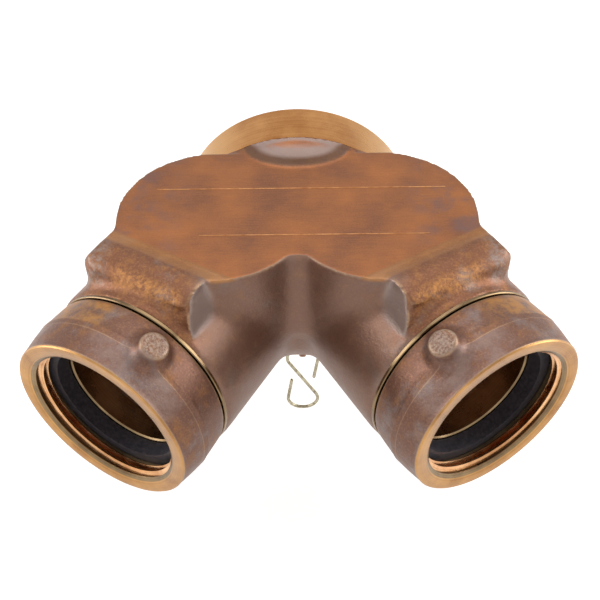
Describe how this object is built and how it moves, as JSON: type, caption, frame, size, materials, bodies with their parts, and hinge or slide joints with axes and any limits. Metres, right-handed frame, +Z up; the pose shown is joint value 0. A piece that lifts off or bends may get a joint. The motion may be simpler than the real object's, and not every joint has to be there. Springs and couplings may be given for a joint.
{
  "type": "fire department connection",
  "caption": "Two-way fire hose inlet casting with swivel couplings, check flaps, a hook eye and one threaded pipe outlet.",
  "frame": {"origin": "centre of the outlet's open face", "axes": "+Y out of the outlet along its axis, both inlets towards -Y at 30 degrees to each side, +Z up towards the flat top"},
  "size_m": [0.2642, 0.1803, 0.1798],
  "materials": {
    "cast_body": "sand-cast bronze, machined at the hub, flanges and bores, worn",
    "swivel_bronze": "sand-cast bronze with a turned face and threads, worn",
    "gasket_rubber": "black moulded rubber",
    "ball_steel": "polished stainless steel",
    "plug_bronze": "turned bronze, filed flush",
    "clapper_bronze": "cast bronze, unpolished",
    "facing_rubber": "black sheet rubber",
    "retainer_brass": "turned brass",
    "screw_brass": "turned brass",
    "pin_steel": "ground stainless steel",
    "hook_steel": "zinc-plated wire, dulled"
  },
  "bodies": {
    "valve_body": {"body": "cast_body", "left_hinge_pin": "pin_steel", "right_hinge_pin": "pin_steel", "left_pin_plug": "plug_bronze", "right_pin_plug": "plug_bronze"},
    "left_swivel": {"left_swivel": "swivel_bronze", "left_gasket": "gasket_rubber", "left_balls": "ball_steel", "left_ball_plug": "plug_bronze"},
    "right_swivel": {"right_swivel": "swivel_bronze", "right_gasket": "gasket_rubber", "right_balls": "ball_steel", "right_ball_plug": "plug_bronze"},
    "left_clapper": {"left_clapper": "clapper_bronze", "left_facing": "facing_rubber", "left_retainer": "retainer_brass", "left_screw": "screw_brass"},
    "right_clapper": {"right_clapper": "clapper_bronze", "right_facing": "facing_rubber", "right_retainer": "retainer_brass", "right_screw": "screw_brass"},
    "s_hook": {"s_hook": "hook_steel"}
  },
  "joints": [
    {"name": "left_swivel_turn", "type": "hinge", "parent": "valve_body", "child": "left_swivel", "pos_m": [0, 0.002, 0], "axis": [-0.5, -0.866, 0], "continuous": true},
    {"name": "right_swivel_turn", "type": "hinge", "parent": "valve_body", "child": "right_swivel", "pos_m": [0, 0.002, 0], "axis": [0.5, -0.866, 0], "continuous": true},
    {"name": "left_clapper_swing", "type": "hinge", "parent": "valve_body", "child": "left_clapper", "pos_m": [-0.0655, -0.11145, 0.043], "axis": [0.866, -0.5, 0], "range_deg": [0, 85]},
    {"name": "right_clapper_swing", "type": "hinge", "parent": "valve_body", "child": "right_clapper", "pos_m": [0.0655, -0.11145, 0.043], "axis": [0.866, 0.5, 0], "range_deg": [0, 85]},
    {"name": "s_hook_swing", "type": "hinge", "parent": "valve_body", "child": "s_hook", "pos_m": [0.002, -0.0605, -0.0608], "axis": [1, 0, 0], "range_deg": [-60, 60]}
  ]
}
